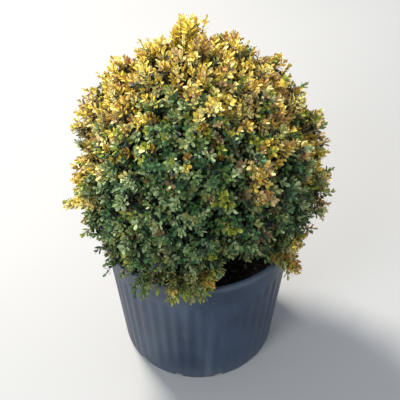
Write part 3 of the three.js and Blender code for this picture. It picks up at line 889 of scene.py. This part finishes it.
def limb_piece(name, path, radii, nodes):
    """A limb extruded ring by ring along its path, tapering, with the relief of its bark."""
    start = Vector(path[0])
    piece = add(name, bpy.ops.mesh.primitive_circle_add, vertices=LIMB_SIDES, radius=radii[0],
                fill_type="NGON", location=start)
    bpy.ops.mesh.select_all(action="SELECT")
    way = Vector(UP)
    for i in range(1, len(path)):
        step = path[i] - path[i - 1]
        bpy.ops.mesh.extrude_region_move(TRANSFORM_OT_translate={"value": tuple(step)})
        ratio = radii[i] / radii[i - 1]
        bpy.ops.transform.resize(value=(ratio, ratio, ratio), center_override=tuple(path[i]))
        ahead = Vector(unit(step if i + 1 == len(path) else path[i + 1] - path[i - 1]))
        turn = way.rotation_difference(ahead).to_euler("XYZ")
        for axis, angle in zip("XYZ", turn):
            bpy.ops.transform.rotate(value=-angle, orient_axis=axis, orient_type="GLOBAL",
                                     center_override=tuple(path[i]))
        way = ahead
    close(piece, smooth=60)
    apply_modifier(piece, "SUBSURF", levels=1, render_levels=1)
    furrows = bpy.data.objects.new("furrows", None)
    furrows.scale = (1, 1, FURROW_STRETCH)
    bpy.context.scene.collection.objects.link(furrows)
    clouds = bpy.data.textures.new("furrows", "CLOUDS")
    clouds.noise_scale = FURROW_SIZE
    depth = min(FURROW_DEPTH, radii[-1] * FURROW_DEPTH_SHARE)
    apply_modifier(piece, "DISPLACE", texture=clouds, texture_coords="OBJECT",
                   texture_coords_object=furrows, strength=depth, mid_level=0.6)
    bpy.data.objects.remove(furrows)
    finish(piece, BARK, "bark", *nodes)


def make_trunk():
    lean = np.array((*TRUNK_LEAN, 0))
    low = np.array((0, 0, MIX_HEIGHT - TRUNK_SINK))
    middle = lean * TRUNK_BEND + (0, 0, MIX_HEIGHT + TRUNK_BEND_RISE * (TRUNK_TOP - MIX_HEIGHT))
    path = smooth_path([low, middle, lean + (0, 0, TRUNK_TOP)], TRUNK_RINGS)
    along = np.linspace(0, 1, len(path))
    taper = TRUNK_FOOT_RADIUS + (TRUNK_TOP_RADIUS - TRUNK_FOOT_RADIUS) * along
    limb_piece("trunk_bark", path, taper * (1 + FLARE * np.exp(-FLARE_FADE * along)), ["trunk"])


def make_boughs():
    """Makes each bough and its stem, and returns the hubs where the stems end."""
    hubs = []
    for mass in MASS_NAMES:
        foot = LEADER_FOOT_RADIUS if mass == "top" else BOUGH_FOOT_RADIUS
        path = smooth_path(bough_points(mass), BOUGH_RINGS)
        hub = path[-1] + STEM_LENGTH * unit(path[-1] - path[-2])
        path = np.vstack([path, (path[-1] + hub) / 2, hub])
        hubs.append(hub)
        radii = np.linspace(foot, BOUGH_TIP_RADIUS, len(path))
        limb_piece("bark_" + mass, path, radii, ["bough_" + mass])
    return np.array(hubs)


# Crown

def skirt(way):
    return smooth_step(-elevations_of(way), SKIRT_FROM, SKIRT_TO)


def nearness(way, azimuth, elevation, width):
    """1 at a place on the ball, fading to 0 over its width."""
    off = np.degrees(np.arccos(np.clip(way @ ways(azimuth, elevation), -1, 1))) / width
    return np.exp(-off * off)


def crown_reach(way):
    """How far the leaf tips reach from the ball's centre."""
    reach = np.full(way.shape[:-1], BALL_RADIUS)
    for height, waves, start in LUMPS:
        reach += height * np.sin(way @ np.array(waves) + start)
    for azimuth, elevation, width, rise in SPOTS:
        reach += rise * nearness(way, azimuth, elevation, width)
    return reach + SKIRT_RISE * skirt(way)


def gold_glow(way):
    """How far each place has turned gold: below 0 in the shade, and above it towards the sun."""
    glow = way @ SUN + FLANK_GOLD * way[:, 0] ** 2
    for azimuth, elevation, width, change in GOLD_PLACES:
        glow += change * nearness(way, azimuth, elevation, width)
    return glow


def clear_of_pot(points, margin):
    """True above the rim, outside it, or well inside it."""
    out = np.linalg.norm(points[..., :2], axis=-1)
    over = points[..., 2] > POT_HEIGHT + margin
    outside = out > RIM_RADIUS + margin
    inside = (out < RIM_RADIUS - RIM_OVERHANG - WALL - margin) & (points[..., 2] > MIX_HEIGHT + margin)
    return over | outside | inside


def nearest(way, others):
    """For each way, the number of the nearest of the others, and the angle to it."""
    match = way @ others.T
    return match.argmax(1), np.arccos(np.clip(match.max(1), -1, 1))


def tubes(name, first, middle, last, radii, sides, steps):
    """Tapering twigs along quadratic curves, as one mesh."""
    thick, thin = radii
    share = np.linspace(0, 1, steps + 1)[None, :, None]
    first, middle, last = (rows[:, None] for rows in (first, middle, last))
    points = curve_points(first, middle, last, share)
    way = way_along(first, middle, last, share)
    aside = unit(np.cross(way, unit(random.normal(0, 1, (len(first), 1, 3)))))
    over = np.cross(way, aside)
    radius = thick + (thin - thick) * share
    turn = np.arange(sides) * 2 * math.pi / sides
    ring = [points + radius * (math.cos(a) * aside + math.sin(a) * over) for a in turn]
    corners = np.stack(ring, 2).reshape(len(first), -1, 3)
    faces = []
    for i in range(steps):
        for k in range(sides):
            a, b = i * sides + k, i * sides + (k + 1) % sides
            faces.append((a, b, b + sides, a + sides))
    faces.append(tuple(range(steps * sides, (steps + 1) * sides)))
    faces.append(tuple(reversed(range(sides))))
    return joined(name, faces, corners)


def limb_ways():
    """Limbs fork from the hub of each mass towards places spread over the ball."""
    way = jittered(even_ways(LIMB_COUNT), LIMB_STRAYING)
    return way[elevations_of(way) > UNDER_EDGE]


def make_branches(hubs, tufts):
    """Limbs from the hub of each mass, then branches from the limbs to the foot of each tuft."""
    limbs = limb_ways()
    owner, _ = nearest(limbs, np.array([mass_way(mass) for mass in MASS_NAMES]))
    starts = hubs[owner]
    ends = CENTRE + limbs * (crown_reach(limbs) * LIMB_REACH)[:, None]
    length = np.linalg.norm(ends - starts, axis=1)[:, None]
    middles = (starts + ends) / 2 + LIMB_BOW * length * limbs
    piece = tubes("limbs", starts, middles, ends, LIMB_RADII, sides=6, steps=8)
    finish(piece, BARK, "bark", *FOLIAGE_NODES)
    limb, _ = nearest(tufts["way"], limbs)
    starts, ends = ends[limb], tufts["foot"]
    length = np.linalg.norm(ends - starts, axis=1)[:, None]
    middles = ends - BRANCH_BEND * length * unit(tufts["way"] + BRANCH_LIFT * UP)
    piece = tubes("branches", starts, middles, ends, BRANCH_RADII, sides=5, steps=6)
    finish(piece, BARK, "bark", *FOLIAGE_NODES)


def make_tufts():
    """Tufts by their way from the centre, how far they stand out, their foot and their colour."""
    way = jittered(even_ways(TUFT_COUNT), TUFT_STRAYING)
    way = way[elevations_of(way) > UNDER_EDGE - TUFT_MARGIN]
    relief = random.normal(0, TUFT_RELIEF, len(way)).clip(*TUFT_RELIEF_RANGE)
    foot = CENTRE + way * (crown_reach(way) - TUFT_DEPTH)[:, None]
    return {"way": way, "relief": relief, "foot": foot, "mood": random.uniform(0, 1, len(way)),
            "glow": random.normal(0, TUFT_GLOW_VARIES, len(way))}


def make_shoots(tufts):
    """Shoots fan out from the foot of each tuft to the crown's outline."""
    way = jittered(even_ways(SHOOT_COUNT), SHOOT_STRAYING)
    way = way[elevations_of(way) > UNDER_EDGE]
    plain = len(way)
    tuft, off = nearest(way, tufts["way"])
    tuft_width = math.sqrt(4 * math.pi / TUFT_COUNT) / 2
    dome = TUFT_DOME * np.clip(off / tuft_width, 0, TUFT_DOME_END) ** 2
    past = tufts["relief"][tuft] - dome + random.normal(0, SHOOT_JITTER, plain)
    turn = np.zeros((plain, 3))
    stray = stray_shoots()
    stray_tuft, _ = nearest(stray["way"], tufts["way"])
    way = np.vstack([way, stray["way"]])
    tuft = np.concatenate([tuft, stray_tuft])
    past = np.concatenate([past, stray["past"]])
    turn = np.vstack([turn, stray["turn"]])
    lift = SHOOT_LIFT * smooth_step(elevations_of(way), SHOOT_LIFT_FROM, SHOOT_LIFT_TO)
    lift *= 1 - abs(way[:, 2])
    lean = unit(way + random.normal(0, SHOOT_TILT / 3, way.shape) + lift[:, None] * UP)
    inset = LEAF_LENGTH * PAIR_SIZES[1] * math.cos(math.radians(PAIR_SPREADS[1]))
    tip = CENTRE + way * (crown_reach(way) + past - inset)[:, None] + turn
    foot = tufts["foot"][tuft]
    length = np.linalg.norm(tip - foot, axis=1)
    middle = tip - SHOOT_BEND * length[:, None] * lean
    points = curve_points(foot[:, None], middle[:, None], tip[:, None], SHOOT_SAMPLES)
    fits = clear_of_pot(points, SHOOT_CLEARANCE).all(1)
    glow = gold_glow(way) + tufts["glow"][tuft] + random.normal(0, SHOOT_GLOW_VARIES, len(way))
    same = random.uniform(0, 1, len(way)) < TUFT_MOOD_SHARE
    mood = np.where(same, tufts["mood"][tuft], random.uniform(0, 1, len(way)))
    side = smooth_step(way[:, 0], -SIDE_MOOD_WIDTH, SIDE_MOOD_WIDTH)
    mood = (1 - SIDE_MOOD) * mood + SIDE_MOOD * side
    extra = np.concatenate([np.zeros(plain), stray["past"]])
    own = np.concatenate([np.full(plain, -1), stray["colour"]])
    shoots = {"foot": foot, "middle": middle, "tip": tip, "length": length, "glow": glow,
              "mood": mood, "extra": extra, "own": own}
    return {name: rows[fits] for name, rows in shoots.items()}


def stray_shoots():
    """Each clump is a leading shoot with shorter ones close by, in its own colours."""
    made = {"way": [], "past": [], "turn": [], "colour": []}
    for azimuth, elevation, reach, bend, count, width, colours in STRAYS:
        for i in range(count):
            share = 1.0 if i == 0 else random.uniform(*STRAY_SHARES)
            spread = 0.0 if i == 0 else width
            made["way"].append(unit(ways(azimuth, elevation) + random.normal(0, spread, 3)))
            made["past"].append(reach * share)
            made["turn"].append(np.array(bend) * share)
            made["colour"].append(COLOUR_NAMES.index(colours[i % len(colours)]))
    return {name: np.array(rows) for name, rows in made.items()}


def make_twigs(shoots):
    piece = tubes("twigs", shoots["foot"], shoots["middle"], shoots["tip"], TWIG_RADII,
                  sides=3, steps=4)
    finish(piece, twig_bark(), "bark", *FOLIAGE_NODES)


# Leaves

LEAF_STATIONS = (0.34, 0.76)
LEAF_HALVES = (0.85, 0.92)
LEAF_FACES = [(0, 3, 2), (0, 2, 1), (1, 2, 5, 4), (2, 3, 6, 5), (4, 5, 7), (5, 6, 7)]


def leaf_template():
    """Across from -1 to 1 and along from 0 to 1: a blade that is widest past its middle."""
    rows = [(0, 0)]
    for along, half in zip(LEAF_STATIONS, LEAF_HALVES):
        rows += [(-half, along), (0, along), (half, along)]
    return np.array(rows + [(0, 1)], float)


def leaf_points(root, along, face, length, width, cup, arch):
    """The corners of leaves, each from its root along its way, with its upper side to its face."""
    across = unit(np.cross(along, face))
    upper = np.cross(across, along)
    x, y = leaf_template().T
    side = (x * width[:, None] / 2)[..., None]
    ahead = (y * length[:, None])[..., None]
    cupped = cup[:, None] * abs(x) * width[:, None] / 2
    arched = arch[:, None] * length[:, None] * y * y
    lift = (cupped - arched)[..., None]
    return root[:, None] + side * across[:, None] + ahead * along[:, None] + lift * upper[:, None]


def make_leaves(shoots):
    """Opposite pairs of leaves along the outer end of each shoot, sorted by colour."""
    count = len(shoots["foot"])
    every = {"points": [], "pair": [], "shoot": []}
    turn = random.uniform(0, math.pi, count)
    longest = int(PAIRS + max(shoots["extra"]) / PAIR_STEP)
    for pair in range(longest):
        young = pair < YOUNG_PAIRS
        steps = pair * PAIR_STEP * random.uniform(*STEP_RANGE, count)
        back = (FIRST_PAIR + steps) / shoots["length"]
        has = (pair < PAIRS + shoots["extra"] / PAIR_STEP) & (back < BARE_FROM)
        share = (1 - back)[:, None]
        joint = curve_points(shoots["foot"], shoots["middle"], shoots["tip"], share)
        twig = way_along(shoots["foot"], shoots["middle"], shoots["tip"], share)
        side = unit(np.cross(twig, NEARLY_UP))
        over = np.cross(twig, side)
        turn += math.pi / 2 + random.normal(0, TURN_VARIES, count)
        number = min(pair, PAIRS - 1)
        for half in range(2):
            angle = (turn + half * math.pi + random.normal(0, SIDE_VARIES, count))[:, None]
            out = np.cos(angle) * side + np.sin(angle) * over
            spread = PAIR_SPREADS[number] + random.normal(0, SPREAD_VARIES, count)
            spread = np.radians(spread)[:, None]
            along = np.cos(spread) * twig + np.sin(spread) * out
            face = np.sin(spread) * twig - np.cos(spread) * out
            face = unit(face + random.normal(0, FACE_VARIES, (count, 3)))
            length = LEAF_LENGTH * PAIR_SIZES[number]
            length = length * random.normal(1, LENGTH_VARIES, count).clip(*LENGTH_RANGE)
            width = length * LEAF_WIDTH / LEAF_LENGTH
            width = width * random.normal(1, WIDTH_VARIES, count).clip(*WIDTH_RANGE)
            cup = random.normal(YOUNG_CUP if young else OLD_CUP, CUP_VARIES, count)
            arch = random.normal(YOUNG_ARCH if young else OLD_ARCH, ARCH_VARIES, count)
            points = leaf_points(joint, along, face, length, width, cup, arch)
            keep = has & clear_of_pot(points, LEAF_CLEARANCE).all(1)
            every["points"].append(points[keep])
            every["pair"].append(np.full(keep.sum(), pair))
            every["shoot"].append(np.flatnonzero(keep))
    points, pair, shoot = (np.concatenate(every[name]) for name in ("points", "pair", "shoot"))
    kind = leaf_kinds(shoots, shoot, pair)
    uv = leaf_template() * (0.5, 1) + (0.5, 0)
    for i, (name, colour, roughness) in enumerate(LEAF_COLOURS):
        piece = joined("leaves_" + name, LEAF_FACES, points[kind == i], uv)
        finish(piece, leaf_skin("leaf_" + name, colour, roughness), "foliage", *FOLIAGE_NODES)


# Plain leaf colours with their roughness, from the sunniest to the most shaded
LEAF_COLOURS = (
    # Cream is partly the leaves' own sun-bleached colour, partly a painted highlight.
    ("cream", (0.90, 0.80, 0.30), 0.40),
    ("gold", (0.78, 0.59, 0.085), 0.38),
    ("ochre", (0.58, 0.37, 0.060), 0.40),
    ("bronze", (0.47, 0.24, 0.068), 0.40),
    ("tan", (0.63, 0.45, 0.205), 0.42),
    ("lime", (0.35, 0.39, 0.045), 0.36),
    # Sage is a painted sheen: pale reflections of the sky on glossy leaves in the shade.
    ("sage_sheen", (0.35, 0.44, 0.205), 0.38),
    ("olive", (0.26, 0.28, 0.085), 0.40),
    ("moss", (0.145, 0.228, 0.066), 0.38),
    ("green", (0.064, 0.162, 0.054), 0.36),
    ("brown", (0.175, 0.118, 0.045), 0.42),
    # Deep is the dark green of shaded leaves, and also painted shade for dim leaves.
    ("deep", (0.024, 0.060, 0.028), 0.34),
    # Shade is painted shade: nearly black leaves deep in the gaps between sprays.
    ("shade", (0.008, 0.015, 0.011), 0.45),
)
# Shares of the colours at stages of glow, from the shaded side to the sunny side
GLOWS = (-0.42, -0.12, 0.08, 0.26, 0.58)
SHARES = (
    # In the rows for the shade, the sage share paints sky sheen onto whole sprays.
    (0.00, 0.00, 0.00, 0.00, 0.01, 0.06, 0.15, 0.13, 0.22, 0.22, 0.04, 0.17, 0.00),
    (0.01, 0.01, 0.00, 0.00, 0.02, 0.11, 0.15, 0.19, 0.20, 0.15, 0.06, 0.10, 0.00),
    (0.05, 0.10, 0.07, 0.03, 0.08, 0.16, 0.08, 0.22, 0.14, 0.05, 0.02, 0.00, 0.00),
    (0.15, 0.27, 0.14, 0.08, 0.15, 0.12, 0.02, 0.07, 0.00, 0.00, 0.00, 0.00, 0.00),
    (0.28, 0.35, 0.12, 0.06, 0.12, 0.07, 0.00, 0.00, 0.00, 0.00, 0.00, 0.00, 0.00),
)
COLOUR_NAMES = [name for name, _, _ in LEAF_COLOURS]
CREAM, OCHRE, LIME, SAGE_SHEEN, OLIVE, MOSS, GREEN, BROWN, DEEP, SHADE = (
    COLOUR_NAMES.index(name)
    for name in ("cream", "ochre", "lime", "sage_sheen", "olive", "moss", "green", "brown", "deep", "shade"))


def leaf_kinds(shoots, shoot, pair):
    """The colour of each leaf: its spray's colour at the tip, with pale tips that are partly painted
    highlights, and darker ones further in that are partly painted shade.
    """
    glow = shoots["glow"]
    shares = np.stack([np.interp(glow, GLOWS, column) for column in np.array(SHARES).T], -1)
    steps = np.cumsum(shares, 1) / shares.sum(1, keepdims=True)
    spray = (shoots["mood"][:, None] > steps).sum(1).clip(0, len(LEAF_COLOURS) - 1)
    kind = np.where(shoots["own"] < 0, spray, shoots["own"])[shoot]
    chance = random.uniform(0, 1, len(shoot))
    sunny = kind < LIME
    # Pale tips: on the sunny side cream, partly a painted highlight; on the shaded side a painted sky
    # sheen.
    tip = (pair < YOUNG_PAIRS) & (chance < PALE_TIP_SHARE)
    kind = np.where(sunny & tip, CREAM, kind)
    kind = np.where(~sunny & tip & (kind >= OLIVE), SAGE_SHEEN, kind)
    # Dim leaves: partly the colour of inner leaves that did not turn, partly painted shade between the
    # sprays.
    dim_shares = np.array((*DIM_SHARES, 0))[np.minimum(pair, PAIRS)]
    dim = (chance < dim_shares) & (shoots["extra"][shoot] < LIGHT_SPRIG_REACH)
    gold = glow[shoot] > DIM_GOLD_FROM
    kind = np.where(sunny & dim, np.where(gold, OCHRE, MOSS), kind)
    kind = np.where(sunny & dim & (chance < DIM_OLIVE_SHARE), OLIVE, kind)
    kind = np.where(sunny & dim & gold & (chance < DIM_BROWN_SHARE), BROWN, kind)
    kind = np.where(~sunny & dim, np.where(kind < MOSS, GREEN, DEEP), kind)
    # Most of the deepest dim leaves turn nearly black: painted shade.
    deepest = dim & (pair >= DEEPEST_PAIR) & (chance < DEEPEST_SHARE)
    return np.where(deepest, SHADE, kind)


# The whole piece

FOLIAGE_NODES = ["foliage_" + mass for mass in MASS_NAMES]
BARK = bark()
make_camera()
make_light()
make_floor()
make_pot()
make_mix()
make_chips()
make_trunk()
bough_hubs = make_boughs()
crown_tufts = make_tufts()
make_branches(bough_hubs, crown_tufts)
crown_shoots = make_shoots(crown_tufts)
make_twigs(crown_shoots)
make_leaves(crown_shoots)
